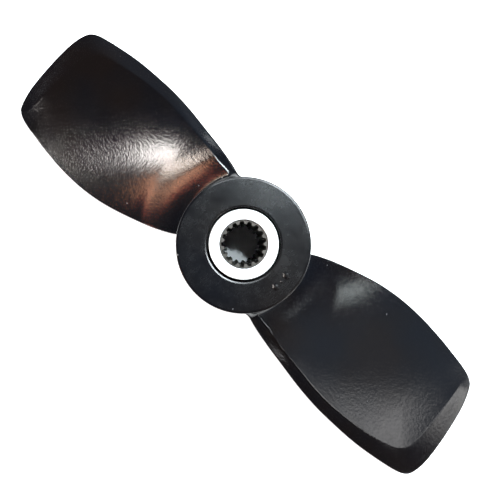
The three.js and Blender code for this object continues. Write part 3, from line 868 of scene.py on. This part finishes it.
def screen_dir(sx, sy, up_amount):
    """Direction in the part frame from a screen direction (x right, y down) and height."""
    v = to_part(np.array([sx, sy, 0.0]))
    v = v + np.array([0, 0, up_amount])
    return Vector((float(v[0]), float(v[1]), float(v[2]))).normalized()


def panel(name, direction, distance, width, height, radiance, color=(1, 1, 1), aim=(0, 0, 0.03)):
    """Soft rectangular studio panel facing the part; width runs level, height upwards."""
    li = bpy.data.lights.new(name, "AREA")
    li.shape = "RECTANGLE"
    li.size, li.size_y = width, height
    li.energy = radiance * math.pi * width * height
    li.color = color
    ob = bpy.data.objects.new(name, li)
    scene.collection.objects.link(ob)
    ob.location = Vector(aim) + direction * distance
    ob.rotation_euler = direction.to_track_quat("Z", "Y").to_euler()
    return ob


def screen_point(sx, sy, z):
    """Point in metres from a position in millimetres: right and down in the picture, and height."""
    v = to_part(np.array([sx, sy, 0.0]))
    return (float(v[0]) * MM, float(v[1]) * MM, z * MM)


ON_LEFT, ON_RIGHT = screen_point(-58, -65, 42), screen_point(105, 105, 28)
panel("overhead", screen_dir(0.32, -0.40, 0.86), 1.7, 0.60, 0.50, 9.0, (0.82, 0.94, 1.0))
panel("beam", screen_dir(0.125, -0.215, 0.97), 1.9, 0.12, 0.12, 80.0, (0.80, 0.94, 1.0))
# light that falls down the bore on the floor under the hub
through = panel("through_bore", screen_dir(0.105, -0.235, 0.97), 1.8, 0.05, 0.05, 1500.0, (0.84, 0.95, 1.0))
through.visible_glossy = False
panel("left_key", screen_dir(-0.894, 0.138, 0.428), 2.4, 0.40, 0.36, 40.0, (1.0, 0.95, 0.915), ON_LEFT)
panel("left_glow", screen_dir(-0.88, 0.20, 0.43), 2.3, 0.70, 0.45, 0.9, (1.0, 0.90, 0.86), ON_LEFT)
panel("left_low", screen_dir(-0.934, 0.180, 0.307), 1.9, 0.25, 0.13, 42.0, (1.0, 0.82, 0.69), screen_point(-43, -55, 44))
panel("left_warm", screen_dir(-0.845, 0.40, 0.345), 1.5, 0.27, 0.13, 22.0, (1.0, 0.48, 0.30), screen_point(-43, -42, 45))
panel("left_red", screen_dir(-0.795, 0.516, 0.317), 1.5, 0.07, 0.13, 11.0, (1.0, 0.16, 0.12), screen_point(-32, -44, 50))
for i, (w, h, power) in enumerate(((0.62, 0.40, 1.0), (0.46, 0.30, 1.4), (0.30, 0.20, 1.4))):
    panel("right_low_%d" % i, screen_dir(0.925, 0.337, 0.19), 1.5 + 0.01 * i, w, h, power, (1.0, 0.985, 0.96), ON_RIGHT)
for i, (w, h, power) in enumerate(((0.50, 0.34, 1.0), (0.30, 0.20, 3.4))):
    panel("right_high_%d" % i, screen_dir(0.805, 0.285, 0.52), 1.5 + 0.01 * i, w, h, power, (1.0, 0.985, 0.97), ON_RIGHT)
panel("right_back", screen_dir(0.77, -0.46, 0.43), 1.5, 0.13, 0.06, 34.0, (0.92, 1.0, 1.0), screen_point(79, 34, 22))
for i, (az, power) in enumerate(((-104, 10.0), (-78, 18.0), (-52, 44.0), (-26, 38.0))):
    a = math.radians(az)
    panel("back_strip_%d" % i, screen_dir(0.53 * math.cos(a), 0.53 * math.sin(a), 0.848), 1.5, 0.36, 0.26, power, (0.90, 0.96, 1.0))
panel("front_high", screen_dir(0.53, 0.56, 0.635), 1.6, 0.34, 0.26, 16.0, (1.0, 0.99, 0.96))
panel("back_low", screen_dir(0.32, -0.92, 0.24), 1.5, 0.80, 0.30, 0.3, (0.78, 0.90, 1.0))

world = bpy.data.worlds.new("studio")
scene.world = world
world.use_nodes = True
wt = world.node_tree
bg = wt.nodes["Background"]
bg.inputs[1].default_value = 1.0
where = wt.nodes.new("ShaderNodeTexCoord").outputs["Generated"]


def lobe(direction, lo, hi):
    """1 around a direction, fading to 0 away from it."""
    dot = wt.nodes.new("ShaderNodeVectorMath"); dot.operation = "DOT_PRODUCT"
    wt.links.new(where, dot.inputs[0])
    dot.inputs[1].default_value = direction
    mr = wt.nodes.new("ShaderNodeMapRange"); mr.interpolation_type = "SMOOTHSTEP"
    mr.inputs[1].default_value, mr.inputs[2].default_value = lo, hi
    wt.links.new(dot.outputs["Value"], mr.inputs[0])
    return mr.outputs[0]


def blend(fac, a, b):
    x = wt.nodes.new("ShaderNodeMix"); x.data_type = "RGBA"
    wt.links.new(fac, x.inputs[0])
    if isinstance(a, tuple):
        x.inputs[6].default_value = a
    else:
        wt.links.new(a, x.inputs[6])
    x.inputs[7].default_value = b
    return x.outputs[2]


room = blend(lobe(screen_dir(0.86, 0.02, 0.50), 0.84, 0.985), (0.070, 0.062, 0.080, 1), (0.32, 0.37, 0.46, 1))
room = blend(lobe(screen_dir(-0.82, 0.40, 0.42), 0.90, 0.99), room, (0.25, 0.20, 0.185, 1))
room = blend(lobe(screen_dir(0.0, -0.90, 0.45), 0.70, 0.95), room, (0.18, 0.215, 0.29, 1))
wt.links.new(room, bg.inputs[0])
scene.view_settings.view_transform = "Standard"
